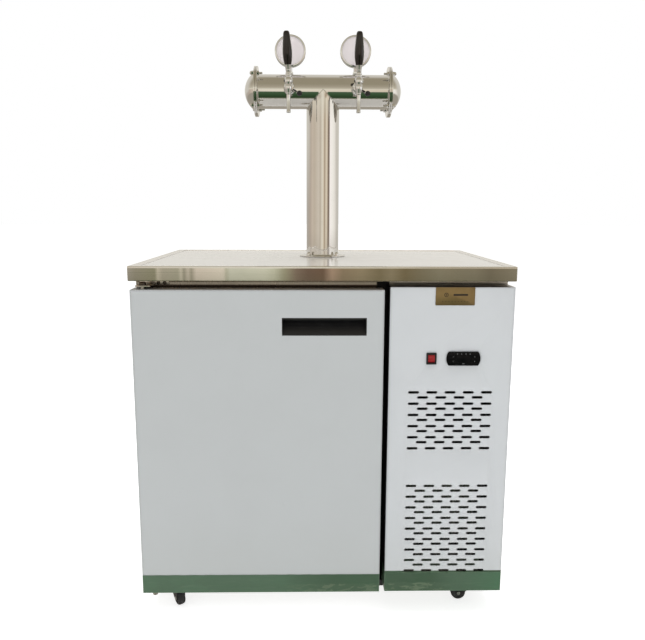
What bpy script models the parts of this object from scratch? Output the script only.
"""Kegerator: foamed keg cabinet with a side compressor bay and a two-tap tee tower.

Frame: metres, +Z up, the origin on the floor under the middle of the worktop.
The door and the taps face -Y, and the hinge side of the door is at -X.
"""
import math

import bmesh
import bpy
from mathutils import Matrix, Vector

# ---------------------------------------------------------------- driving dimensions
GAP = 0.0003                      # clearance kept between touching pieces
SHEET = 0.0015                    # stainless sheet
THIN_SHEET = 0.0012               # sheet of covers and trim

WORKTOP_WIDTH = 0.900
WORKTOP_DEPTH = 0.600
WORKTOP_TOP = 0.880
WORKTOP_EDGE = 0.035              # height of the turned-down edge
RIM_SIDE = 0.025                  # bare stainless border beside the deck
RIM_FRONT = 0.012
DECK_RECESS = 0.0035
DECK_THICKNESS = 0.0017

BODY_WIDTH = 0.894
BODY_FRONT = -0.238
BODY_BACK = 0.290
BODY_BOTTOM = 0.052
WALL_SHEET = 0.002
FLOOR_SHEET = 0.003

ROOM_LEFT, ROOM_RIGHT = -0.396, 0.100     # keg compartment, inside the liner
ROOM_FLOOR, ROOM_CEILING = 0.100, 0.800
ROOM_BACK = 0.240
FOAM_RIGHT = 0.160                # behind the gap between door and panel

DOOR_LEFT, DOOR_RIGHT = -0.447, 0.143
DOOR_BOTTOM, DOOR_TOP = 0.063, 0.825
DOOR_FRONT = -0.2988
DOOR_THICKNESS = 0.049
HINGE_X = DOOR_LEFT + 0.026
HINGE_Y = DOOR_FRONT + DOOR_THICKNESS - 0.030
HINGE_PIN = 0.004                 # radius
HINGE_BORE = 0.0046

HANDLE_LEFT, HANDLE_RIGHT = -0.096, 0.102
HANDLE_BOTTOM, HANDLE_TOP = 0.7175, 0.759
HANDLE_DEPTH = 0.028
HANDLE_BACK_HEIGHT = 0.010        # flat top part of the scoop's back
HANDLE_WALL = 0.0015

GASKET_LEFT, GASKET_RIGHT = HINGE_X + 0.001, 0.125
GASKET_BOTTOM, GASKET_TOP = 0.078, 0.822
GASKET_MARGIN = 0.004             # from the compartment's opening to the gasket's inner edge

BRACKET_PLATE = 0.003
BRACKET_LEFT, BRACKET_RIGHT, BRACKET_FRONT = -0.437, -0.400, -0.2910
BRACKET_FLANGE_RIGHT = -0.358
BRACKET_SCREWS_X = (-0.3825, -0.3675)

PANEL_LEFT, PANEL_RIGHT = 0.1557, 0.449
PANEL_BOTTOM, PANEL_TOP = 0.062, 0.832
PANEL_FRONT = -0.2955

SLOT_LENGTH, SLOT_HEIGHT = 0.0264, 0.0047
SLOT_PITCH = 0.0437
SLOT_FIRST_X = 0.2034             # left end of the first slot in a long row
ROW_STEP_SHORT, ROW_STEP_LONG = 0.0125, 0.0155
UPPER_GRILLE_TOP, UPPER_GRILLE_ROWS = 0.5788, 11
LOWER_GRILLE_TOP, LOWER_GRILLE_ROWS = 0.3421, 17

STRIP_TOP_DOOR, STRIP_TOP_PANEL = 0.111, 0.113
STRIP_THICKNESS = 0.0008

CONTROLLER_X, CONTROLLER_Z = 0.3325, 0.6615
CONTROLLER_STRAIGHT, CONTROLLER_BULGE = 0.069, 0.006
CONTROLLER_HEIGHT = 0.0336
KEY_OFFSETS = {
    "key_set": (-0.0245, 0.0050),
    "key_down": (-0.0245, -0.0056),
    "key_up": (0.0263, 0.0050),
    "key_power": (0.0263, -0.0058),
}
KEY_WIDTH, KEY_HEIGHT = 0.0075, 0.0050
KEY_TRAVEL = 0.0005

SWITCH_X, SWITCH_Z = 0.2567, 0.6615
SWITCH_WIDTH, SWITCH_HEIGHT = 0.024, 0.028
ROCKER_WIDTH, ROCKER_HALF_HEIGHT = 0.0158, 0.0092
ROCKER_TILT = math.radians(5.0)
ROCKER_PIVOT_Y = -0.2925

BADGE_LEFT, BADGE_RIGHT = 0.262, 0.354
BADGE_BOTTOM, BADGE_TOP = 0.789, 0.8315

TOWER_X, TOWER_Y = 0.0035, 0.053
TUBE_RADIUS = 0.0445
TUBE_WALL = 0.002
TEE_HEIGHT = 0.442                # tee axis above the worktop
TEE_FLANGE_X = 0.179              # joint face of each end flange, from the tower's middle
TEE_FLANGE_RADIUS = 0.0653
TEE_FLANGE_THICKNESS = 0.0045
CAP_RADIUS, CAP_RISE = 0.050, 0.0275
CAP_BOLT_CIRCLE = 0.0575
BASE_FLANGE_RADIUS, BASE_FLANGE_THICKNESS = 0.064, 0.003
BASE_BOLT_CIRCLE = 0.055
LINE_HOLE_RADIUS = 0.030          # opening below the column for the beer lines
BOLT_RADIUS, BOLT_HOLE_RADIUS, NUT_RADIUS = 0.003, 0.0037, 0.0058

TAP_OFFSET = 0.0895
TAP_REACH = 0.0685                # spout axis in front of the cross tube
SHANK_RADIUS = 0.008
LEVER_LEAN = math.radians(8.0)
LEVER_ROLL = {"left": math.radians(-2.5), "right": 0.0}

MEDALLION_OFFSET = 0.0878
MEDALLION_HEIGHT = 0.5465         # centre above the worktop
MEDALLION_RADIUS, MEDALLION_DEPTH = 0.0415, 0.015

LEVER_PIVOT_Z = WORKTOP_TOP + 0.468
LEVER_BALL = 0.0075
SPOUT_END_Z = WORKTOP_TOP + 0.3725
FLOW_RING_INSET = 0.0210          # ring centre in front of the cross tube
FLOW_KNOB_REACH, FLOW_KNOB_DROP = 0.027, 0.014
FLOW_KNOB_RADIUS = 0.0072

GLAND_X, GLAND_Z = 0.400, 0.120
GLAND_THREAD = 0.008
VENT_LEFT, VENT_RIGHT = 0.190, 0.330
VENT_BOTTOM, VENT_PITCH, VENT_HEIGHT, VENT_ROWS = 0.120, 0.024, 0.008, 8

PIPE_HOLE_Y, PIPE_HOLE_Z = 0.090, 0.640
PIPE_HOLE_RADIUS = 0.022
COMPRESSOR_X, COMPRESSOR_Y = 0.300, 0.160
COMPRESSOR_RADIUS = 0.084
FAN_X, FAN_Y, FAN_Z = 0.300, -0.162, 0.220
FAN_RADIUS = 0.085
CONDENSER_HALF_WIDTH = 0.120
CONDENSER_LOW, CONDENSER_HIGH = 0.100, 0.340
EVAPORATOR_LEFT = 0.022
EVAPORATOR_FRONT, EVAPORATOR_BACK = -0.060, 0.200
EVAPORATOR_BOTTOM, EVAPORATOR_TOP = 0.500, 0.780
EVAPORATOR_FAN_Y, EVAPORATOR_FAN_Z = 0.020, 0.620
EVAPORATOR_FAN_RADIUS = 0.055

CASTER_X, CASTER_Y = 0.380, 0.228
CASTER_HEADINGS = {               # degrees from +X in which each wheel trails at rest
    "front_left": -55.0,
    "front_right": 180.0,
    "rear_left": 70.0,
    "rear_right": 20.0,
}
WHEEL_RADIUS, WHEEL_WIDTH = 0.019, 0.017
CASTER_TRAIL = 0.022

# ---------------------------------------------------------------- derived dimensions
DECK_BED = WORKTOP_TOP - DECK_RECESS
DECK_TOP = DECK_BED + GAP + DECK_THICKNESS
SHELL_TOP_UNDERSIDE = DECK_BED - SHEET
WORKTOP_UNDERSIDE = WORKTOP_TOP - WORKTOP_EDGE
BODY_TOP = WORKTOP_UNDERSIDE - GAP
DOOR_BACK = DOOR_FRONT + DOOR_THICKNESS
TEE_Z = WORKTOP_TOP + TEE_HEIGHT
TUBE_FRONT_Y = TOWER_Y - TUBE_RADIUS
SPOUT_Y = TUBE_FRONT_Y - TAP_REACH
FLOW_RING_Y = TUBE_FRONT_Y - FLOW_RING_INSET
SIDES = {"left": -1, "right": 1}

# ---------------------------------------------------------------- scene and materials
for leftover in list(bpy.data.objects):
    bpy.data.objects.remove(leftover)

PARTS = bpy.data.collections.new("kegerator")
CUTTERS = bpy.data.collections.new("kegerator_cutters")
bpy.context.scene.collection.children.link(PARTS)
bpy.context.scene.collection.children.link(CUTTERS)

MATERIALS = {                     # colour, roughness, metallic
    "stainless_polished": ((0.78, 0.76, 0.72), 0.10, 1.0),
    "stainless_brushed": ((0.62, 0.60, 0.56), 0.35, 1.0),
    "white_enamel": ((0.72, 0.74, 0.75), 0.35, 0.0),
    "white_deck": ((0.80, 0.79, 0.76), 0.18, 0.0),
    "green_strip": ((0.09, 0.18, 0.10), 0.40, 0.0),
    "galvanised": ((0.55, 0.56, 0.57), 0.45, 1.0),
    "foam": ((0.80, 0.70, 0.45), 0.90, 0.0),
    "plywood": ((0.60, 0.45, 0.28), 0.80, 0.0),
    "black_plastic": ((0.015, 0.015, 0.017), 0.35, 0.0),
    "black_gloss": ((0.010, 0.010, 0.012), 0.08, 0.0),
    "grey_rubber": ((0.30, 0.30, 0.31), 0.70, 0.0),
    "black_rubber": ((0.02, 0.02, 0.02), 0.70, 0.0),
    "red_plastic": ((0.50, 0.02, 0.02), 0.25, 0.0),
    "brass": ((0.70, 0.52, 0.25), 0.25, 1.0),
    "copper": ((0.75, 0.38, 0.22), 0.30, 1.0),
    "black_enamel": ((0.02, 0.02, 0.022), 0.30, 0.0),
    "aluminium": ((0.75, 0.75, 0.76), 0.40, 1.0),
    "grey_plastic": ((0.70, 0.71, 0.72), 0.50, 0.0),
    "clear_tube": ((0.75, 0.75, 0.70), 0.20, 0.0),
}


def material_for(node, kind):
    """A material of the node's own, in one of the object's finishes."""
    colour, roughness, metallic = MATERIALS[kind]
    material = bpy.data.materials.new(node)
    material.use_nodes = True
    shader = material.node_tree.nodes["Principled BSDF"]
    shader.inputs["Base Color"].default_value = (*colour, 1.0)
    shader.inputs["Roughness"].default_value = roughness
    shader.inputs["Metallic"].default_value = metallic
    return material


# ---------------------------------------------------------------- modelling helpers
def place(name, mesh, matrix=None):
    """Link a mesh as a new object in the parts collection."""
    body = bpy.data.objects.new(name, mesh)
    PARTS.objects.link(body)
    if matrix is not None:
        body.matrix_world = matrix
    return body


def finish(body, kind, smooth=False):
    """Give a finished piece its material and its shading."""
    body.data.materials.clear()
    body.data.materials.append(material_for(body.name, kind))
    if smooth:
        body.data.shade_smooth()
        body.data.set_sharp_from_angle(angle=math.radians(35.0))
    return body


def box(name, low, high):
    """An axis-aligned box between two corners."""
    low, high = Vector(low), Vector(high)
    shape = bmesh.new()
    bmesh.ops.create_cube(shape, size=1.0)
    bmesh.ops.scale(shape, vec=high - low, verts=shape.verts)
    bmesh.ops.translate(shape, vec=(low + high) / 2, verts=shape.verts)
    mesh = bpy.data.meshes.new(name)
    shape.to_mesh(mesh)
    shape.free()
    return place(name, mesh)


def aimed(location, direction):
    """A matrix at a location whose local +Z points along a direction."""
    turn = Vector(direction).to_track_quat("Z", "Y").to_matrix().to_4x4()
    return Matrix.Translation(location) @ turn


def cylinder(name, start, end, radius, sides=24):
    """A closed cylinder from one point to another."""
    start, end = Vector(start), Vector(end)
    shape = bmesh.new()
    bmesh.ops.create_cone(
        shape, cap_ends=True, segments=sides, radius1=radius, radius2=radius, depth=(end - start).length
    )
    mesh = bpy.data.meshes.new(name)
    shape.to_mesh(mesh)
    shape.free()
    return place(name, mesh, aimed((start + end) / 2, end - start))


def ball(name, centre, radius, segments=16):
    """A closed sphere."""
    shape = bmesh.new()
    bmesh.ops.create_uvsphere(shape, u_segments=segments, v_segments=segments // 2, radius=radius)
    mesh = bpy.data.meshes.new(name)
    shape.to_mesh(mesh)
    shape.free()
    return place(name, mesh, Matrix.Translation(centre))


def turned(name, profile, location, direction=(0, 0, 1), sides=24, closed=False):
    """A lathe shape: (radius, height) points, top to bottom on the outer side."""
    mesh = bpy.data.meshes.new(name)
    points = [(radius, 0.0, height) for radius, height in profile]
    edges = [(i, i + 1) for i in range(len(points) - 1)]
    if closed:
        edges.append((len(points) - 1, 0))
    mesh.from_pydata(points, edges, [])
    body = place(name, mesh, aimed(location, direction))
    screw = body.modifiers.new("turn", "SCREW")
    screw.steps = sides
    screw.render_steps = sides
    screw.use_merge_vertices = True
    screw.merge_threshold = 0.00001
    screw.use_normal_calculate = False
    return body


def curve_to_mesh(body):
    """Replace a curve object by a mesh object with welded caps."""
    bpy.context.view_layer.update()
    evaluated = body.evaluated_get(bpy.context.evaluated_depsgraph_get())
    mesh = bpy.data.meshes.new_from_object(evaluated)
    shape = bmesh.new()
    shape.from_mesh(mesh)
    bmesh.ops.remove_doubles(shape, verts=shape.verts, dist=0.000005)
    shape.to_mesh(mesh)
    shape.free()
    name, matrix = body.name, body.matrix_world.copy()
    bpy.data.objects.remove(body)
    return place(name, mesh, matrix)


def outline_plate(name, outlines, thickness, location, direction=(0, -1, 0), upright=(0, 0, 1)):
    """A flat plate cut from 2D outlines: the first is the edge and the others are holes.

    An outline's points are (across, up): up is along upright, and across is upright x direction.
    """
    curve = bpy.data.curves.new(name, "CURVE")
    curve.dimensions = "2D"
    curve.fill_mode = "BOTH"
    curve.extrude = thickness / 2
    for outline in outlines:
        spline = curve.splines.new("POLY")
        spline.points.add(len(outline) - 1)
        for point, (across, up) in zip(spline.points, outline):
            point.co = (across, up, 0.0, 1.0)
        spline.use_cyclic_u = True
    body = bpy.data.objects.new(name, curve)
    PARTS.objects.link(body)
    normal, up = Vector(direction), Vector(upright)
    across = up.cross(normal)
    turn = Matrix((across, up, normal)).transposed().to_4x4()
    body.matrix_world = Matrix.Translation(location) @ turn
    return curve_to_mesh(body)


def rectangle(left, bottom, right, top):
    return [(left, bottom), (right, bottom), (right, top), (left, top)]


def smooth_path(points, steps=6):
    """Points along a smooth curve through the given points."""
    points = [Vector(point) for point in points]
    ends = [2 * points[0] - points[1], *points, 2 * points[-1] - points[-2]]
    path = []
    for before, start, end, after in zip(ends, ends[1:], ends[2:], ends[3:]):
        for step in range(steps):
            t = step / steps
            path.append(
                0.5 * (2 * start + (end - before) * t
                       + (2 * before - 5 * start + 4 * end - after) * t ** 2
                       + (3 * start - before - 3 * end + after) * t ** 3)
            )
    path.append(points[-1])
    return path


def tube(name, points, radius, resolution=2):
    """A round solid tube along a list of points."""
    curve = bpy.data.curves.new(name, "CURVE")
    curve.dimensions = "3D"
    curve.bevel_depth = radius
    curve.bevel_resolution = resolution
    curve.use_fill_caps = True
    spline = curve.splines.new("POLY")
    spline.points.add(len(points) - 1)
    for point, position in zip(spline.points, points):
        point.co = (*position, 1.0)
    body = bpy.data.objects.new(name, curve)
    PARTS.objects.link(body)
    return curve_to_mesh(body)


def combine(body, operation, *tools):
    """Join tools to a body, or cut them out of it."""
    for tool in tools:
        modifier = body.modifiers.new(operation.lower(), "BOOLEAN")
        modifier.operation = operation
        modifier.object = tool
        modifier.solver = "EXACT"
        tool.hide_render = True
        tool.display_type = "WIRE"
        if tool.name in PARTS.objects:
            PARTS.objects.unlink(tool)
            CUTTERS.objects.link(tool)
            tool.parent = body
            tool.matrix_parent_inverse = body.matrix_basis.inverted()
    return body


def join(body, *tools):
    return combine(body, "UNION", *tools)


def cut(body, *tools):
    return combine(body, "DIFFERENCE", *tools)


def bevel_edges(body, width, segments=2):
    modifier = body.modifiers.new("edges", "BEVEL")
    modifier.width = width
    modifier.segments = segments
    modifier.limit_method = "ANGLE"
    modifier.angle_limit = math.radians(60.0)
    return body


def pivot_at(name, location, *bodies):
    """An empty on a joint's axis that carries the moving pieces."""
    empty = bpy.data.objects.new(name, None)
    PARTS.objects.link(empty)
    empty.location = location
    for body in bodies:
        body.parent = empty
        body.matrix_parent_inverse = Matrix.Translation(location).inverted()
    return empty


def around(centre, radius, count, start_degrees=45.0):
    """(across, up) places spaced evenly on a circle."""
    for index in range(count):
        angle = math.radians(start_degrees + index * 360.0 / count)
        yield centre[0] + radius * math.cos(angle), centre[1] + radius * math.sin(angle)


# ---------------------------------------------------------------- cabinet body
def base_pan():
    half = BODY_WIDTH / 2 - WALL_SHEET - 2 * GAP
    body = box("base_pan", (-half, BODY_FRONT, BODY_BOTTOM),
               (half, BODY_BACK - WALL_SHEET - 2 * GAP, BODY_BOTTOM + FLOOR_SHEET))
    return finish(body, "galvanised")


def side_panel(side):
    sign = SIDES[side]
    outer = sign * BODY_WIDTH / 2
    inner = outer - sign * WALL_SHEET
    body = box(f"side_panel_{side}", (min(outer, inner), BODY_FRONT, BODY_BOTTOM),
               (max(outer, inner), BODY_BACK - WALL_SHEET - GAP, BODY_TOP))
    return finish(body, "stainless_brushed")


def back_panel():
    """Rear sheet with a field of vents behind the compressor bay and a hole for the cord gland."""
    half = BODY_WIDTH / 2
    outlines = [rectangle(-half, BODY_BOTTOM, half, BODY_TOP)]
    for row in range(VENT_ROWS):
        bottom = VENT_BOTTOM + row * VENT_PITCH
        outlines.append(rectangle(-VENT_RIGHT, bottom, -VENT_LEFT, bottom + VENT_HEIGHT))
    outlines.append(list(around((-GLAND_X, GLAND_Z), GLAND_THREAD + 2 * GAP, 16)))
    body = outline_plate("back_panel", outlines, WALL_SHEET,
                         (0, BODY_BACK - WALL_SHEET / 2, 0), direction=(0, 1, 0))
    return finish(body, "galvanised")


def power_gland():
    """Cord gland screwed through the rear sheet, with a clear bore for the cord."""
    outside = BODY_BACK + GAP
    profile = [
        (0.0090, 0.0090), (0.0110, 0.0060), (0.0125, 0.0055), (0.0125, 0.0000),
        (GLAND_THREAD, 0.0000), (GLAND_THREAD, -0.0120), (0.0045, -0.0120), (0.0045, 0.0090),
    ]
    body = turned("power_gland", profile, (GLAND_X, outside, GLAND_Z), (0, 1, 0), sides=16, closed=True)
    return finish(body, "black_plastic", smooth=True)


def insulation(line_hole):
    """Foam walls of the keg compartment: a box open at the front."""
    half = BODY_WIDTH / 2 - WALL_SHEET - GAP
    margin = THIN_SHEET + GAP
    body = box("insulation", (-half, BODY_FRONT + SHEET + 2 * GAP, BODY_BOTTOM + FLOOR_SHEET + GAP),
               (FOAM_RIGHT, BODY_BACK - WALL_SHEET - 2 * GAP, BODY_TOP))
    room = box("insulation_room", (ROOM_LEFT - margin, BODY_FRONT - 0.02, ROOM_FLOOR - margin),
               (ROOM_RIGHT + margin, ROOM_BACK + margin, ROOM_CEILING + margin))
    pipe_hole = cylinder("insulation_pipe_hole", (ROOM_RIGHT - 0.02, PIPE_HOLE_Y, PIPE_HOLE_Z),
                         (FOAM_RIGHT + 0.02, PIPE_HOLE_Y, PIPE_HOLE_Z), PIPE_HOLE_RADIUS, sides=16)
    return finish(cut(body, room, line_hole, pipe_hole), "foam")


def keg_liner(line_hole):
    """Stainless liner of the keg compartment, with the flange that the door gasket closes on."""
    half = BODY_WIDTH / 2 - WALL_SHEET - GAP
    low = (ROOM_LEFT - THIN_SHEET, BODY_FRONT, ROOM_FLOOR - THIN_SHEET)
    high = (ROOM_RIGHT + THIN_SHEET, ROOM_BACK + THIN_SHEET, ROOM_CEILING + THIN_SHEET)
    body = box("keg_liner", (-half, BODY_FRONT, BODY_BOTTOM + FLOOR_SHEET + GAP),
               (FOAM_RIGHT, BODY_FRONT + SHEET, BODY_TOP))
    tub = box("keg_liner_tub", low, high)
    room = box("keg_liner_room", (ROOM_LEFT, BODY_FRONT - 0.02, ROOM_FLOOR),
               (ROOM_RIGHT, ROOM_BACK, ROOM_CEILING))
    pipe_hole = cylinder("keg_liner_pipe_hole", (ROOM_RIGHT - 0.01, PIPE_HOLE_Y, PIPE_HOLE_Z),
                         (ROOM_RIGHT + 0.01, PIPE_HOLE_Y, PIPE_HOLE_Z), PIPE_HOLE_RADIUS, sides=16)
    return finish(cut(join(body, tub), room, line_hole, pipe_hole), "stainless_brushed")


# ---------------------------------------------------------------- worktop
def worktop_shell(line_hole, bolt_holes):
    """Pressed stainless top: turned-down edges, a border and a bed for the deck."""
    half_x, half_y = WORKTOP_WIDTH / 2, WORKTOP_DEPTH / 2
    body = box("worktop_shell", (-half_x, -half_y, WORKTOP_UNDERSIDE), (half_x, half_y, WORKTOP_TOP))
    bevel_edges(body, 0.002)
    bed = box("worktop_bed", (-half_x + RIM_SIDE, -half_y + RIM_FRONT, DECK_BED),
              (half_x - RIM_SIDE, half_y - RIM_FRONT, WORKTOP_TOP + 0.01))
    hollow = box("worktop_hollow", (-half_x + SHEET, -half_y + SHEET, WORKTOP_UNDERSIDE - 0.01),
                 (half_x - SHEET, half_y - SHEET, SHELL_TOP_UNDERSIDE))
    return finish(cut(body, bed, hollow, line_hole, *bolt_holes), "stainless_brushed")


def worktop_core(line_hole, bolt_holes):
    half_x, half_y = WORKTOP_WIDTH / 2 - SHEET - GAP, WORKTOP_DEPTH / 2 - SHEET - GAP
    body = box("worktop_core", (-half_x, -half_y, WORKTOP_UNDERSIDE),
               (half_x, half_y, SHELL_TOP_UNDERSIDE - GAP))
    return finish(cut(body, line_hole, *bolt_holes), "plywood")


def worktop_deck(line_hole, bolt_holes):
    half_x, half_y = WORKTOP_WIDTH / 2 - RIM_SIDE - GAP, WORKTOP_DEPTH / 2 - RIM_FRONT - GAP
    body = box("worktop_deck", (-half_x, -half_y, DECK_BED + GAP), (half_x, half_y, DECK_TOP))
    return finish(cut(body, line_hole, *bolt_holes), "white_deck")


def build_worktop():
    """The three layers of the worktop share the openings below the tower."""
    line_hole = cylinder("line_hole", (TOWER_X, TOWER_Y, ROOM_CEILING - 0.02),
                         (TOWER_X, TOWER_Y, WORKTOP_TOP + 0.02), LINE_HOLE_RADIUS, sides=24)
    bolt_holes = [
        cylinder(f"base_bolt_hole_{index}", (x, y, WORKTOP_UNDERSIDE - 0.02), (x, y, WORKTOP_TOP + 0.02),
                 BOLT_HOLE_RADIUS, sides=8)
        for index, (x, y) in enumerate(around((TOWER_X, TOWER_Y), BASE_BOLT_CIRCLE, 4))
    ]
    worktop_shell(line_hole, bolt_holes)
    worktop_core(line_hole, bolt_holes)
    worktop_deck(line_hole, bolt_holes)
    insulation(line_hole)
    keg_liner(line_hole)


# ---------------------------------------------------------------- door
def handle_prism(name, profile, margin=0.0):
    """A side outline as (Y, Z) drawn out to the handle opening's length, plus a margin at each end."""
    length = HANDLE_RIGHT - HANDLE_LEFT + 2 * margin
    centre = (HANDLE_LEFT + HANDLE_RIGHT) / 2
    return outline_plate(name, [profile], length, (centre, 0, 0), direction=(1, 0, 0))


def scoop_profile(margin=0.0):
    """The scoop's outside: shallow at the bottom, deep at the top."""
    front, back = DOOR_FRONT, DOOR_FRONT + HANDLE_DEPTH + margin
    bottom, top = HANDLE_BOTTOM - margin, HANDLE_TOP + margin
    return [(front, bottom), (back, top - HANDLE_BACK_HEIGHT), (back, top), (front, top)]


def scoop_hollow_profile():
    """The scoop's inside, one wall thickness in, run out through its open front."""
    slope = (HANDLE_TOP - HANDLE_BACK_HEIGHT - HANDLE_BOTTOM) / HANDLE_DEPTH
    lift = HANDLE_WALL * math.hypot(1.0, slope)
    front, back = DOOR_FRONT - 0.005, DOOR_FRONT + HANDLE_DEPTH - HANDLE_WALL
    top = HANDLE_TOP - HANDLE_WALL
    start = HANDLE_BOTTOM + lift
    return [(front, start), (DOOR_FRONT, start), (back, start + slope * (back - DOOR_FRONT)),
            (back, top), (front, top)]


def door_skin(pin_bores):
    """White outer pan: the front sheet and four turned edges, with the handle opening."""
    body = box("door_skin", (DOOR_LEFT, DOOR_FRONT, DOOR_BOTTOM), (DOOR_RIGHT, DOOR_BACK, DOOR_TOP))
    bevel_edges(body, 0.0015)
    hollow = box("door_skin_hollow",
                 (DOOR_LEFT + THIN_SHEET, DOOR_FRONT + THIN_SHEET, DOOR_BOTTOM + THIN_SHEET),
                 (DOOR_RIGHT - THIN_SHEET, DOOR_BACK + 0.01, DOOR_TOP - THIN_SHEET))
    opening = box("door_skin_opening", (HANDLE_LEFT - GAP, DOOR_FRONT - 0.01, HANDLE_BOTTOM - GAP),
                  (HANDLE_RIGHT + GAP, DOOR_FRONT + 0.005, HANDLE_TOP + GAP))
    return finish(cut(body, hollow, opening, *pin_bores), "white_enamel")


def door_liner():
    """Rear sheet of the door, set inside the pan's edges."""
    inset = THIN_SHEET + GAP
    body = box("door_liner", (DOOR_LEFT + inset, DOOR_BACK - SHEET, DOOR_BOTTOM + inset),
               (DOOR_RIGHT - inset, DOOR_BACK, DOOR_TOP - inset))
    return finish(body, "stainless_brushed")


def door_foam(pin_bores):
    inset = THIN_SHEET + GAP
    body = box("door_foam", (DOOR_LEFT + inset, DOOR_FRONT + inset, DOOR_BOTTOM + inset),
               (DOOR_RIGHT - inset, DOOR_BACK - SHEET - GAP, DOOR_TOP - inset))
    pocket = handle_prism("door_foam_pocket", scoop_profile(GAP), GAP)
    return finish(cut(body, pocket, *pin_bores), "foam")


def door_handle_cup():
    """Black moulded scoop, open at the front."""
    body = handle_prism("door_handle_cup", scoop_profile())
    inside = handle_prism("door_handle_inside", scoop_hollow_profile(), -HANDLE_WALL)
    return finish(cut(body, inside), "black_plastic")


def door_gasket():
    """Magnetic gasket ring around the keg opening."""
    outlines = [
        rectangle(GASKET_LEFT, GASKET_BOTTOM, GASKET_RIGHT, GASKET_TOP),
        rectangle(ROOM_LEFT - GASKET_MARGIN, ROOM_FLOOR - GASKET_MARGIN,
                  ROOM_RIGHT + GASKET_MARGIN, ROOM_CEILING + GASKET_MARGIN),
    ]
    front, back = DOOR_BACK + GAP, BODY_FRONT - GAP
    body = outline_plate("door_gasket", outlines, back - front, (0, (front + back) / 2, 0))
    return finish(body, "grey_rubber")


def door_kick_strip():
    face = DOOR_FRONT - GAP
    body = box("door_kick_strip", (DOOR_LEFT + 0.0005, face - STRIP_THICKNESS, DOOR_BOTTOM + 0.0005),
               (DOOR_RIGHT - 0.0005, face, STRIP_TOP_DOOR))
    return finish(body, "green_strip")


def build_door():
    pin_bores = [
        cylinder("pin_bore_upper", (HINGE_X, HINGE_Y, DOOR_TOP - 0.024),
                 (HINGE_X, HINGE_Y, DOOR_TOP + 0.01), HINGE_BORE, sides=16),
        cylinder("pin_bore_lower", (HINGE_X, HINGE_Y, DOOR_BOTTOM - 0.01),
                 (HINGE_X, HINGE_Y, DOOR_BOTTOM + 0.024), HINGE_BORE, sides=16),
    ]
    pivot_at("door_pivot", (HINGE_X, HINGE_Y, DOOR_BOTTOM),
             door_skin(pin_bores), door_foam(pin_bores), door_liner(), door_gasket(),
             door_handle_cup(), door_kick_strip())


def upper_hinge_bracket():
    """Angle bracket screwed to the liner flange, with the pin that holds the door's top."""
    plate_z = DOOR_TOP + 0.0055
    flange_y = BODY_FRONT - GAP
    body = box("upper_hinge_bracket", (BRACKET_LEFT, BRACKET_FRONT, plate_z),
               (BRACKET_RIGHT, flange_y, plate_z + BRACKET_PLATE))
    flange = box("upper_hinge_flange", (BRACKET_LEFT, flange_y - 0.0025, plate_z),
                 (BRACKET_FLANGE_RIGHT, flange_y, BODY_TOP - 0.001))
    pin = cylinder("upper_hinge_pin", (HINGE_X, HINGE_Y, DOOR_TOP - 0.020),
                   (HINGE_X, HINGE_Y, plate_z + 0.006), HINGE_PIN, sides=16)
    screws = [
        cylinder(f"upper_hinge_screw_{index}", (x, flange_y - 0.0050, plate_z + 0.0065),
                 (x, flange_y - 0.001, plate_z + 0.0065), 0.004, sides=12)
        for index, x in enumerate(BRACKET_SCREWS_X)
    ]
    return finish(join(body, flange, pin, *screws), "stainless_brushed")


def lower_hinge_bracket():
    """Plate under the base pan, with the pin and the washer that carry the door."""
    top = BODY_BOTTOM - GAP
    body = box("lower_hinge_bracket", (HINGE_X - 0.0237, HINGE_Y - 0.0102, top - BRACKET_PLATE),
               (HINGE_X + 0.0165, HINGE_Y + 0.0898, top))
    washer = cylinder("lower_hinge_washer", (HINGE_X, HINGE_Y, top - 0.001),
                      (HINGE_X, HINGE_Y, DOOR_BOTTOM - GAP), 0.008, sides=16)
    pin = cylinder("lower_hinge_pin", (HINGE_X, HINGE_Y, top - 0.001), (HINGE_X, HINGE_Y, DOOR_BOTTOM + 0.020),
                   HINGE_PIN, sides=16)
    return finish(join(body, washer, pin), "stainless_brushed")


# ---------------------------------------------------------------- compressor bay front
def slot_outline(left, height_centre):
    """A slot's plain outline, cut square at its ends."""
    half = SLOT_HEIGHT / 2
    return rectangle(left, height_centre - half, left + SLOT_LENGTH, height_centre + half)


def grille(top, rows):
    """Rows of five and four slots in turn, the short rows set over by half a pitch."""
    slots = []
    height = top
    for row in range(rows):
        short_row = row % 2 == 1
        left = SLOT_FIRST_X + (SLOT_PITCH / 2 if short_row else 0.0)
        for column in range(4 if short_row else 5):
            slots.append(slot_outline(left + column * SLOT_PITCH, height))
        height -= ROW_STEP_LONG if short_row else ROW_STEP_SHORT
    return slots


def machine_panel():
    """Front cover of the bay: a slotted sheet with returns back to the cabinet."""
    outlines = [
        rectangle(SWITCH_X - 0.0105, SWITCH_Z - 0.0125, SWITCH_X + 0.0105, SWITCH_Z + 0.0125),
        rectangle(CONTROLLER_X - 0.0345, CONTROLLER_Z - 0.0145, CONTROLLER_X + 0.0345, CONTROLLER_Z + 0.0145),
        *grille(UPPER_GRILLE_TOP, UPPER_GRILLE_ROWS),
        *grille(LOWER_GRILLE_TOP, LOWER_GRILLE_ROWS),
    ]
    back = BODY_FRONT - GAP
    body = box("machine_panel", (PANEL_LEFT, PANEL_FRONT, PANEL_BOTTOM), (PANEL_RIGHT, back, PANEL_TOP))
    hollow = box("panel_hollow",
                 (PANEL_LEFT + THIN_SHEET, PANEL_FRONT + THIN_SHEET, PANEL_BOTTOM + THIN_SHEET),
                 (PANEL_RIGHT - THIN_SHEET, back + 0.01, PANEL_TOP - THIN_SHEET))
    openings = outline_plate("panel_openings", outlines, 4 * THIN_SHEET, (0, PANEL_FRONT, 0))
    return finish(cut(body, hollow, openings), "white_enamel")


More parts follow.
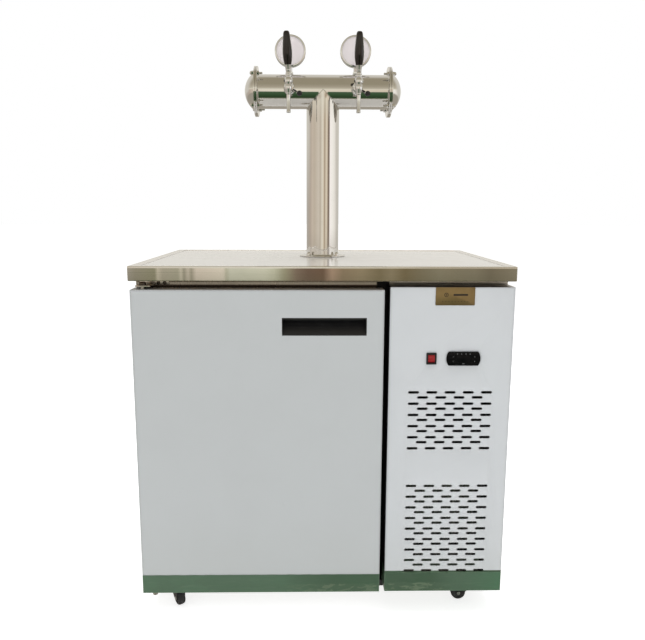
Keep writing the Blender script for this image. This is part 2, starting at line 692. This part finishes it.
def panel_kick_strip():
    face = PANEL_FRONT - GAP
    body = box("panel_kick_strip", (PANEL_LEFT + 0.0005, face - STRIP_THICKNESS, PANEL_BOTTOM + 0.0005),
               (PANEL_RIGHT - 0.0005, face, STRIP_TOP_PANEL))
    return finish(body, "green_strip")


def badge_plate():
    face = PANEL_FRONT - GAP
    body = box("badge_plate", (BADGE_LEFT, face - 0.0015, BADGE_BOTTOM), (BADGE_RIGHT, face, BADGE_TOP))
    bevel_edges(body, 0.0005)
    return finish(body, "brass")


def switch_bezel():
    """Frame and body of the mains switch, with the pocket that the rocker swings in."""
    face = PANEL_FRONT - GAP
    front = face - 0.0026
    half_x, half_z = SWITCH_WIDTH / 2, SWITCH_HEIGHT / 2
    body = box("switch_bezel", (SWITCH_X - half_x, front, SWITCH_Z - half_z),
               (SWITCH_X + half_x, face, SWITCH_Z + half_z))
    rear = box("switch_rear", (SWITCH_X - 0.0100, face - 0.001, SWITCH_Z - 0.0120),
               (SWITCH_X + 0.0100, face + 0.024, SWITCH_Z + 0.0120))
    pocket_x, pocket_z = ROCKER_WIDTH / 2 + GAP, ROCKER_HALF_HEIGHT + 0.0008
    pocket = box("switch_pocket", (SWITCH_X - pocket_x, front - 0.01, SWITCH_Z - pocket_z),
                 (SWITCH_X + pocket_x, face + 0.012, SWITCH_Z + pocket_z))
    return finish(cut(join(body, rear), pocket), "black_plastic")


def switch_rocker():
    """Rocker with a shallow V face, resting with its lower half pressed in."""
    middle, crest = -0.0050, -0.0050 - ROCKER_HALF_HEIGHT * math.tan(ROCKER_TILT)
    outline = [
        (crest, ROCKER_HALF_HEIGHT), (middle, 0.0), (crest, -ROCKER_HALF_HEIGHT),
        (0.0040, -0.0060), (0.0040, 0.0060),
    ]
    body = outline_plate("switch_rocker", [outline], ROCKER_WIDTH, (0, 0, 0), direction=(1, 0, 0))
    tilt = Matrix.Rotation(ROCKER_TILT, 4, "X")
    body.matrix_world = Matrix.Translation((SWITCH_X, ROCKER_PIVOT_Y, SWITCH_Z)) @ tilt @ body.matrix_world
    return finish(body, "red_plastic")


def controller_outline():
    """Straight top and bottom edges and two bulged ends."""
    half_x, half_z = CONTROLLER_STRAIGHT / 2, CONTROLLER_HEIGHT / 2
    steps = 8
    outline = []
    for sign in (1, -1):
        for step in range(steps + 1):
            angle = math.pi * (step / steps - 0.5)
            across = half_x + CONTROLLER_BULGE * math.cos(angle)
            outline.append((sign * across, sign * half_z * math.sin(angle)))
    return outline


def controller_body():
    """Temperature controller: bezel in front of the panel, case behind it, a pocket for each key."""
    face = PANEL_FRONT - GAP
    depth = 0.0032
    body = outline_plate("controller_body", [controller_outline()], depth,
                         (CONTROLLER_X, face - depth / 2, CONTROLLER_Z))
    case = box("controller_case", (CONTROLLER_X - 0.0340, face - 0.001, CONTROLLER_Z - 0.0140),
               (CONTROLLER_X + 0.0340, face + 0.050, CONTROLLER_Z + 0.0140))
    join(body, case)
    for name, (across, up) in KEY_OFFSETS.items():
        half_x, half_z = KEY_WIDTH / 2 + GAP, KEY_HEIGHT / 2 + GAP
        x, z = CONTROLLER_X + across, CONTROLLER_Z + up
        cut(body, box(f"{name}_pocket", (x - half_x, face - depth - 0.001, z - half_z),
                      (x + half_x, face - depth + 0.0025, z + half_z)))
    return finish(body, "black_gloss")


def controller_keys():
    """Four sprung keys that stand a little proud of the bezel."""
    front = PANEL_FRONT - GAP - 0.0032 - 0.0006
    for name, (across, up) in KEY_OFFSETS.items():
        x, z = CONTROLLER_X + across, CONTROLLER_Z + up
        body = box(name, (-KEY_WIDTH / 2, 0.0, -KEY_HEIGHT / 2), (KEY_WIDTH / 2, 0.0022, KEY_HEIGHT / 2))
        body.location = (x, front, z)
        finish(body, "black_plastic")


# ---------------------------------------------------------------- cooling system
def compressor():
    """Hermetic compressor: domed can on a foot plate with four grommets."""
    floor = BODY_BOTTOM + FLOOR_SHEET + GAP
    radius = COMPRESSOR_RADIUS
    foot = 0.016
    profile = [(0.0, 0.190), (0.030, 0.188), (0.058, 0.178), (0.076, 0.158), (radius, 0.130)]
    profile += [(radius, 0.094), (radius + 0.003, 0.092), (radius + 0.003, 0.086), (radius, 0.084)]
    profile += [(radius, 0.045), (0.070, 0.024), (0.040, foot - 0.001), (0.0, foot - 0.001)]
    body = turned("compressor", profile, (COMPRESSOR_X, COMPRESSOR_Y, floor), sides=20)
    plate = box("compressor_foot", (COMPRESSOR_X - 0.100, COMPRESSOR_Y - 0.075, floor + foot - 0.003),
                (COMPRESSOR_X + 0.100, COMPRESSOR_Y + 0.075, floor + foot + 0.001))
    grommets = [
        cylinder(f"compressor_grommet_{index}", (COMPRESSOR_X + x, COMPRESSOR_Y + y, floor),
                 (COMPRESSOR_X + x, COMPRESSOR_Y + y, floor + foot + 0.005), 0.011, sides=12)
        for index, (x, y) in enumerate(((-0.085, -0.060), (0.085, -0.060), (-0.085, 0.060), (0.085, 0.060)))
    ]
    return finish(join(body, plate, *grommets), "black_enamel", smooth=True)


def condenser():
    """Finned block behind the lower grille, with the fan shroud and the motor on its back."""
    left, right = FAN_X - CONDENSER_HALF_WIDTH, FAN_X + CONDENSER_HALF_WIDTH
    back, front, web = -0.180, -0.214, 0.005
    fins, fin = 16, 0.0022
    pitch = (right - left - fin) / (fins - 1)
    outline = [(left, back), (right, back)]
    for index in reversed(range(fins)):
        start = left + index * pitch
        outline += [(start + fin, front), (start, front)]
        if index:
            outline += [(start, back - web), (start - pitch + fin, back - web)]
    body = outline_plate("condenser", [outline], CONDENSER_HIGH - CONDENSER_LOW,
                         (0, 0, (CONDENSER_LOW + CONDENSER_HIGH) / 2), direction=(0, 0, 1), upright=(0, 1, 0))
    feet = box("condenser_feet", (left, back - 0.012, BODY_BOTTOM + FLOOR_SHEET + GAP),
               (right, back - 0.001, CONDENSER_LOW + 0.002))
    shroud = box("condenser_shroud", (left, back - 0.001, CONDENSER_LOW),
                 (right, back + 0.030, CONDENSER_HIGH))
    throat = cylinder("condenser_throat", (FAN_X, back + 0.006, FAN_Z), (FAN_X, back + 0.040, FAN_Z),
                      FAN_RADIUS + 0.006, sides=32)
    bars = box("condenser_bars", (FAN_X - 0.110, back + 0.0285, FAN_Z - 0.006),
               (FAN_X + 0.110, back + 0.0325, FAN_Z + 0.006))
    motor = cylinder("condenser_motor", (FAN_X, back + 0.028, FAN_Z), (FAN_X, back + 0.075, FAN_Z),
                     0.028, sides=20)
    shaft = cylinder("condenser_shaft", (FAN_X, back + 0.009, FAN_Z), (FAN_X, back + 0.030, FAN_Z),
                     0.003, sides=10)
    cut(shroud, throat)
    return finish(join(body, feet, shroud, bars, motor, shaft), "aluminium")


def fan(name, hub_radius, radius, depth, blades, centre, direction, shaft_radius):
    """Axial fan: twisted blades around a bored hub, its origin on the shaft."""
    hub = turned(name, [(hub_radius, depth / 2), (hub_radius, -depth / 2),
                        (shaft_radius, -depth / 2), (shaft_radius, depth / 2)],
                 centre, direction, sides=16, closed=True)
    for index in range(blades):
        blade = box(f"{name}_blade_{index}", (hub_radius - 0.002, -0.016 * radius / 0.085, -0.0010),
                    (radius, 0.016 * radius / 0.085, 0.0010))
        turn = Matrix.Rotation(index * math.tau / blades, 4, "Z") @ Matrix.Rotation(math.radians(24.0), 4, "X")
        blade.matrix_world = aimed(centre, direction) @ turn
        join(hub, blade)
    return hub


def condenser_fan():
    body = fan("condenser_fan", 0.020, FAN_RADIUS, 0.014, 5, (FAN_X, FAN_Y, FAN_Z), (0, -1, 0), 0.0040)
    return finish(body, "black_plastic")


def evaporator_fan():
    body = fan("evaporator_fan", 0.016, EVAPORATOR_FAN_RADIUS, 0.012, 5,
               (EVAPORATOR_LEFT + 0.014, EVAPORATOR_FAN_Y, EVAPORATOR_FAN_Z), (-1, 0, 0), 0.0030)
    return finish(body, "black_plastic")


def evaporator_cover():
    """Air cover on the compartment's right wall, with the fan opening and its motor bar."""
    left, right = EVAPORATOR_LEFT, ROOM_RIGHT - GAP
    front, back, bottom, top = EVAPORATOR_FRONT, EVAPORATOR_BACK, EVAPORATOR_BOTTOM, EVAPORATOR_TOP
    body = box("evaporator_cover", (left, front, bottom), (right, back, top))
    hollow = box("evaporator_hollow", (left + THIN_SHEET, front + THIN_SHEET, bottom + THIN_SHEET),
                 (right + 0.01, back - THIN_SHEET, top - THIN_SHEET))
    opening = cylinder("evaporator_opening", (left - 0.01, EVAPORATOR_FAN_Y, EVAPORATOR_FAN_Z),
                       (left + 0.005, EVAPORATOR_FAN_Y, EVAPORATOR_FAN_Z),
                       EVAPORATOR_FAN_RADIUS + 0.004, sides=32)
    cut(body, hollow, opening)
    outlets = [
        box(f"evaporator_outlet_{index}", (left - 0.01, 0.100, 0.560 + index * 0.030),
            (left + 0.005, 0.180, 0.568 + index * 0.030))
        for index in range(6)
    ]
    cut(body, *outlets)
    bar = box("evaporator_bar", (left + 0.0280, front + 0.0005, EVAPORATOR_FAN_Z - 0.006),
              (left + 0.0310, 0.085, EVAPORATOR_FAN_Z + 0.006))
    foot = box("evaporator_bar_foot", (left + 0.0005, 0.082, EVAPORATOR_FAN_Z - 0.006),
               (left + 0.0310, 0.085, EVAPORATOR_FAN_Z + 0.006))
    motor = cylinder("evaporator_motor", (left + 0.0275, EVAPORATOR_FAN_Y, EVAPORATOR_FAN_Z),
                     (left + 0.050, EVAPORATOR_FAN_Y, EVAPORATOR_FAN_Z), 0.018, sides=16)
    shaft = cylinder("evaporator_shaft", (left + 0.006, EVAPORATOR_FAN_Y, EVAPORATOR_FAN_Z),
                     (left + 0.030, EVAPORATOR_FAN_Y, EVAPORATOR_FAN_Z), 0.0024, sides=10)
    return finish(join(body, bar, foot, motor, shaft), "grey_plastic")


def refrigerant_pipe():
    """One circuit: condenser, through the wall, the evaporator's passes, and back to the compressor."""
    hole = Vector((FOAM_RIGHT, PIPE_HOLE_Y, PIPE_HOLE_Z))
    passes_x = ROOM_RIGHT - 0.012
    route = [
        (0.200, -0.140, 0.300), (0.185, -0.090, 0.330), (0.178, 0.000, 0.450), (0.178, 0.080, 0.600),
        (0.168, hole.y - 0.009, hole.z + 0.004), (0.130, hole.y - 0.009, hole.z + 0.006),
        (passes_x + 0.004, hole.y - 0.009, hole.z + 0.010), (passes_x, hole.y + 0.006, hole.z + 0.030),
        (passes_x, 0.140, 0.705),
    ]
    for index, height in enumerate((0.745, 0.715)):
        ends = (0.150, -0.020) if index % 2 == 0 else (-0.020, 0.150)
        route += [(passes_x, ends[0], height), (passes_x, ends[1], height)]
    for index, height in enumerate((0.560, 0.535)):
        ends = (0.155, -0.020) if index % 2 == 0 else (-0.020, 0.115)
        route += [(passes_x, ends[0], height), (passes_x, ends[1], height)]
    route += [
        (passes_x, 0.125, 0.590), (passes_x + 0.004, hole.y + 0.009, hole.z - 0.008),
        (0.130, hole.y + 0.009, hole.z - 0.006), (0.168, hole.y + 0.010, hole.z - 0.006),
        (0.190, hole.y + 0.020, 0.560), (0.215, 0.130, 0.400), (0.235, 0.150, 0.290),
        (0.252, 0.158, 0.2505),
    ]
    body = tube("refrigerant_pipe", smooth_path(route, steps=2), 0.0035, resolution=1)
    return finish(body, "copper", smooth=True)


# ---------------------------------------------------------------- draught tower
def nut_profile(low, high):
    """A dome nut from low to high as (radius, height), top to bottom."""
    height = high - low
    return [(0.0, high), (0.0042, high - 0.25 * height), (NUT_RADIUS, low + 0.50 * height), (NUT_RADIUS, low)]


def tower_flange():
    """Base ring around the column's foot, with four studs and their dome nuts."""
    low = DECK_TOP + GAP
    high = low + BASE_FLANGE_THICKNESS
    bore = TUBE_RADIUS + 0.0005
    profile = [(bore, high), (BASE_FLANGE_RADIUS - 0.001, high), (BASE_FLANGE_RADIUS, high - 0.001),
               (BASE_FLANGE_RADIUS, low), (bore, low)]
    body = turned("tower_flange", profile, (TOWER_X, TOWER_Y, 0), sides=32, closed=True)
    for index, (x, y) in enumerate(around((TOWER_X, TOWER_Y), BASE_BOLT_CIRCLE, 4)):
        stud = nut_profile(high - 0.0005, high + 0.0105)
        stud += [(BOLT_RADIUS, high - 0.0005), (BOLT_RADIUS, WORKTOP_UNDERSIDE + 0.004),
                 (0.0, WORKTOP_UNDERSIDE + 0.004)]
        join(body, turned(f"tower_stud_{index}", stud, (x, y, 0), sides=6))
    return finish(body, "stainless_polished", smooth=True)


def tower_body():
    """Column and cross tube of one diameter, welded into a tee with a flange at each end."""
    inner = TUBE_RADIUS - TUBE_WALL
    end = TEE_FLANGE_X
    flange_start = end - TEE_FLANGE_THICKNESS
    profile = [
        (0.0, end), (TEE_FLANGE_RADIUS, end),
        (TEE_FLANGE_RADIUS, flange_start), (TUBE_RADIUS, flange_start),
        (TUBE_RADIUS, -flange_start), (TEE_FLANGE_RADIUS, -flange_start),
        (TEE_FLANGE_RADIUS, -end), (0.0, -end),
    ]
    body = turned("tower_body", profile, (TOWER_X, TOWER_Y, TEE_Z), (1, 0, 0), sides=32)
    column = cylinder("tower_column", (TOWER_X, TOWER_Y, DECK_TOP + GAP), (TOWER_X, TOWER_Y, TEE_Z),
                      TUBE_RADIUS, sides=32)
    column_bore = cylinder("tower_column_bore", (TOWER_X, TOWER_Y, DECK_TOP - 0.01), (TOWER_X, TOWER_Y, TEE_Z),
                           inner, sides=32)
    cross_bore = cylinder("tower_cross_bore", (TOWER_X - end - 0.01, TOWER_Y, TEE_Z),
                          (TOWER_X + end + 0.01, TOWER_Y, TEE_Z), inner, sides=32)
    cut(join(body, column), cross_bore, column_bore)
    for side, sign in SIDES.items():
        x = TOWER_X + sign * TAP_OFFSET
        cut(body, cylinder(f"shank_hole_{side}", (x, TUBE_FRONT_Y - 0.01, TEE_Z), (x, TOWER_Y, TEE_Z),
                           SHANK_RADIUS + 0.0010, sides=16))
        for index, (y, z) in enumerate(around((TOWER_Y, TEE_Z), CAP_BOLT_CIRCLE, 4)):
            start = TOWER_X + sign * (flange_start - 0.01)
            stop = TOWER_X + sign * (end + 0.01)
            cut(body, cylinder(f"cap_bolt_hole_{side}_{index}", (start, y, z), (stop, y, z),
                               BOLT_HOLE_RADIUS, sides=8))
    return finish(body, "stainless_polished", smooth=True)


def end_cap(side):
    """Domed cover with its flange and the four bolts that clamp it to the tee."""
    sign = SIDES[side]
    base = TEE_FLANGE_X + GAP
    rim = TEE_FLANGE_THICKNESS
    wall = 0.002
    sphere = (CAP_RADIUS ** 2 + CAP_RISE ** 2) / (2 * CAP_RISE)
    sunk = rim + CAP_RISE - sphere

    def dome(radius, steps, rim_height):
        reach = math.acos((rim_height - sunk) / radius)
        return [(radius * math.sin(reach * i / steps), sunk + radius * math.cos(reach * i / steps))
                for i in range(steps + 1)]

    outside = dome(sphere, 5, rim)
    inside = dome(sphere - wall, 3, 0.0)
    profile = outside + [(TEE_FLANGE_RADIUS - 0.0008, rim), (TEE_FLANGE_RADIUS, rim - 0.0008),
                         (TEE_FLANGE_RADIUS, 0.0)] + inside[::-1]
    body = turned(f"end_cap_{side}", profile, (TOWER_X + sign * base, TOWER_Y, TEE_Z), (sign, 0, 0), sides=32)
    inner_face = -TEE_FLANGE_THICKNESS - 2 * GAP
    for index, (y, z) in enumerate(around((TOWER_Y, TEE_Z), CAP_BOLT_CIRCLE, 4)):
        bolt = nut_profile(rim - 0.0005, rim + 0.0105)
        bolt += [(BOLT_RADIUS, rim - 0.0005), (BOLT_RADIUS, inner_face), (NUT_RADIUS, inner_face),
                 (NUT_RADIUS, inner_face - 0.005), (BOLT_RADIUS, inner_face - 0.005),
                 (BOLT_RADIUS, inner_face - 0.014), (0.0, inner_face - 0.014)]
        foot = (TOWER_X + sign * base, y, z)
        join(body, turned(f"cap_bolt_{side}_{index}", bolt, foot, (sign, 0, 0), sides=6))
    return finish(body, "stainless_polished", smooth=True)


def medallion(side):
    """Round sign drum on a short stem that stands on the cross tube."""
    x = TOWER_X + SIDES[side] * MEDALLION_OFFSET
    z = WORKTOP_TOP + MEDALLION_HEIGHT
    half, radius = MEDALLION_DEPTH / 2, MEDALLION_RADIUS
    profile = [(0.0, half - 0.002), (radius - 0.005, half - 0.002), (radius - 0.005, half),
               (radius - 0.0015, half), (radius, half - 0.0015), (radius, -half + 0.0015),
               (radius - 0.0015, -half), (0.0, -half)]
    body = turned(f"medallion_{side}", profile, (x, TOWER_Y, z), (0, -1, 0), sides=28)
    stem_foot = TEE_Z + TUBE_RADIUS + GAP
    stem = turned(f"medallion_stem_{side}", [(0.0, z - radius + 0.004), (0.0065, z - radius + 0.004),
                                             (0.0065, stem_foot + 0.004), (0.0085, stem_foot + 0.003),
                                             (0.0085, stem_foot), (0.0, stem_foot)],
                  (x, TOWER_Y, 0), sides=12)
    return finish(join(body, stem), "stainless_polished", smooth=True)


def beer_line(side):
    """Line from the shank's tail through the column to the keg compartment."""
    sign = SIDES[side]
    x = TOWER_X + sign * TAP_OFFSET
    x_column = TOWER_X + sign * 0.014
    route = [
        (x, TUBE_FRONT_Y + 0.0330, TEE_Z), (x, TUBE_FRONT_Y + 0.0380, TEE_Z),
        (x - sign * 0.010, TOWER_Y + 0.003, TEE_Z - 0.001),
        (x - sign * 0.035, TOWER_Y + 0.004, TEE_Z - 0.004), (x_column + sign * 0.010, TOWER_Y, TEE_Z - 0.024),
        (x_column, TOWER_Y, TEE_Z - 0.070), (x_column, TOWER_Y, TEE_Z - 0.260),
        (x_column, TOWER_Y, ROOM_CEILING - 0.010),
    ]
    body = tube(f"beer_line_{side}", smooth_path(route, steps=3), 0.0045, resolution=1)
    return finish(body, "clear_tube", smooth=True)


# ---------------------------------------------------------------- taps
def tap_body(side):
    """Shank, coupling nut, barrel and spout in one casting, with the cup for the lever's ball."""
    x = TOWER_X + SIDES[side] * TAP_OFFSET
    top = LEVER_PIVOT_Z - 0.0025
    upright = [
        (0.0, top), (0.0092, top), (0.0092, top - 0.0050), (0.0082, top - 0.0065),
        (0.0102, top - 0.0110), (0.0102, top - 0.0190), (0.0084, top - 0.0235),
        (0.0093, top - 0.0300), (0.0085, top - 0.0390), (0.0066, top - 0.0450),
        (0.0055, top - 0.0475), (0.0055, SPOUT_END_Z), (0.0, SPOUT_END_Z),
    ]
    body = turned(f"tap_body_{side}", upright, (x, SPOUT_Y, 0), sides=16)
    collar, nut = 0.0150, 0.0135
    y = TUBE_FRONT_Y - 2 * GAP
    shank = [
        (0.0, -SPOUT_Y), (SHANK_RADIUS, -SPOUT_Y), (SHANK_RADIUS, -y + 0.0145), (nut, -y + 0.0145),
        (nut, -y + 0.0040), (collar, -y + 0.0040), (collar, -y), (SHANK_RADIUS, -y),
        (SHANK_RADIUS, -y - 0.0320), (0.0, -y - 0.0320),
    ]
    join(body, turned(f"tap_shank_{side}", shank, (x, 0, TEE_Z), (0, -1, 0), sides=16))
    spout_bore = cylinder(f"tap_bore_{side}", (x, SPOUT_Y, SPOUT_END_Z - 0.0125),
                          (x, SPOUT_Y, SPOUT_END_Z + 0.0425), 0.0042, sides=16)
    ball_cup = ball(f"tap_cup_{side}", (x, SPOUT_Y, LEVER_PIVOT_Z), LEVER_BALL + 0.0006, segments=12)
    return finish(cut(body, spout_bore, ball_cup), "stainless_polished", smooth=True)


def tap_lever(side):
    """Ball, ferrule and black handle, turning about the ball's centre."""
    x = TOWER_X + SIDES[side] * TAP_OFFSET
    profile = [
        (0.0, 0.1005), (0.0060, 0.0985), (0.0083, 0.0925), (0.0108, 0.0660), (0.0121, 0.0460),
        (0.0112, 0.0330), (0.0091, 0.0215), (0.0086, 0.0205), (0.0068, 0.0055), (0.0055, 0.0048),
    ]
    steps = 5
    for step in range(1, steps + 1):
        angle = math.radians(45.0 + step * 135.0 / steps)
        profile.append((LEVER_BALL * math.sin(angle) if step < steps else 0.0, LEVER_BALL * math.cos(angle)))
    body = turned(f"tap_lever_{side}", profile, (0, 0, 0), sides=14)
    lean = Matrix.Rotation(LEVER_LEAN, 4, "X") @ Matrix.Rotation(LEVER_ROLL[side], 4, "Y")
    body.matrix_world = Matrix.Translation((x, SPOUT_Y, LEVER_PIVOT_Z)) @ lean
    return finish(body, "black_gloss", smooth=True)


def flow_lever(side):
    """Flow-control ring on the shank, with an arm and a ball knob."""
    x = TOWER_X + SIDES[side] * TAP_OFFSET
    ring_half, bore, outer = 0.0040, SHANK_RADIUS + 0.0005, 0.0112
    profile = [(bore, ring_half), (outer, ring_half), (outer, -ring_half), (bore, -ring_half)]
    body = turned(f"flow_lever_{side}", profile, (x, FLOW_RING_Y, TEE_Z), (0, -1, 0), sides=16, closed=True)
    knob = Vector((x + FLOW_KNOB_REACH, FLOW_RING_Y, TEE_Z - FLOW_KNOB_DROP))
    towards = (knob - Vector((x, FLOW_RING_Y, TEE_Z))).normalized()
    start = Vector((x, FLOW_RING_Y, TEE_Z)) + towards * (outer - 0.0015)
    join(body, cylinder(f"flow_arm_{side}", start, knob, 0.0020, sides=10),
         ball(f"flow_knob_{side}", knob, FLOW_KNOB_RADIUS, segments=12))
    return finish(body, "black_plastic", smooth=True)


# ---------------------------------------------------------------- casters
def caster(position, x, y):
    """Top plate with its kingpin, a swivelling fork and a wheel that trails behind the pin."""
    top = BODY_BOTTOM - GAP
    half = 0.022
    plate = box(f"caster_plate_{position}", (x - half, y - half, top - 0.0025), (x + half, y + half, top))
    race = cylinder(f"caster_race_{position}", (x, y, 0.0470), (x, y, top - 0.001), 0.014, sides=16)
    pin = cylinder(f"caster_pin_{position}", (x, y, 0.0395), (x, y, 0.0480), 0.004, sides=12)
    head = cylinder(f"caster_head_{position}", (x, y, 0.0385), (x, y, 0.0402), 0.0065, sides=12)
    finish(join(plate, race, pin, head), "galvanised")

    heading = Matrix.Translation((x, y, 0)) @ Matrix.Rotation(math.radians(CASTER_HEADINGS[position]), 4, "Z")
    crown_low, crown_high = 0.0408, 0.0466
    inner, outer = WHEEL_WIDTH / 2 + 0.0008, WHEEL_WIDTH / 2 + 0.0028
    crown_half = inner + 0.001
    fork = box(f"caster_fork_{position}", (-0.015, -crown_half, crown_low), (0.030, crown_half, crown_high))
    pin_hole = cylinder(f"caster_pin_hole_{position}", (0, 0, 0.030), (0, 0, 0.060), 0.0047, sides=12)
    cheek_top = crown_high - 0.0006
    cheek_profile = [(-0.013, cheek_top), (-0.013, crown_low), (0.016, 0.0130), (0.028, 0.0130),
                     (0.031, 0.0300), (0.031, cheek_top)]
    cheeks = [
        outline_plate(f"caster_cheek_{position}_{index}", [[(-px, pz) for px, pz in cheek_profile]],
                      outer - inner, (0, sign * (inner + outer) / 2, 0), direction=(0, 1, 0))
        for index, sign in enumerate((-1, 1))
    ]
    axle = cylinder(f"caster_axle_{position}", (CASTER_TRAIL, -outer - 0.0015, WHEEL_RADIUS),
                    (CASTER_TRAIL, outer + 0.0015, WHEEL_RADIUS), 0.003, sides=10)
    cut(join(fork, *cheeks, axle), pin_hole)
    fork.matrix_world = heading
    finish(fork, "black_plastic")

    tyre = WHEEL_WIDTH / 2
    bore = 0.0036
    profile = [
        (bore, tyre - 0.0005), (0.0060, tyre - 0.0005), (0.0065, tyre - 0.0025), (0.0125, tyre - 0.0025),
        (0.0135, tyre), (0.0172, tyre), (WHEEL_RADIUS, tyre - 0.0030),
    ]
    profile += [(radius, -height) for radius, height in reversed(profile)]
    wheel = turned(f"caster_wheel_{position}", profile, (0, 0, 0), sides=20, closed=True)
    wheel.matrix_world = heading @ aimed((CASTER_TRAIL, 0, WHEEL_RADIUS), (0, 1, 0))
    finish(wheel, "black_rubber", smooth=True)


def build_casters():
    for position in CASTER_HEADINGS:
        y = -CASTER_Y if position.startswith("front") else CASTER_Y
        x = -CASTER_X if position.endswith("left") else CASTER_X
        caster(position, x, y)


# ---------------------------------------------------------------- assembly
base_pan()
side_panel("left")
side_panel("right")
back_panel()
power_gland()
build_worktop()
build_door()
upper_hinge_bracket()
lower_hinge_bracket()
machine_panel()
panel_kick_strip()
badge_plate()
switch_bezel()
switch_rocker()
controller_body()
controller_keys()
compressor()
condenser()
condenser_fan()
evaporator_cover()
evaporator_fan()
refrigerant_pipe()
tower_flange()
tower_body()
for tower_side in SIDES:
    end_cap(tower_side)
    medallion(tower_side)
    beer_line(tower_side)
    tap_body(tower_side)
    tap_lever(tower_side)
    flow_lever(tower_side)
build_casters()
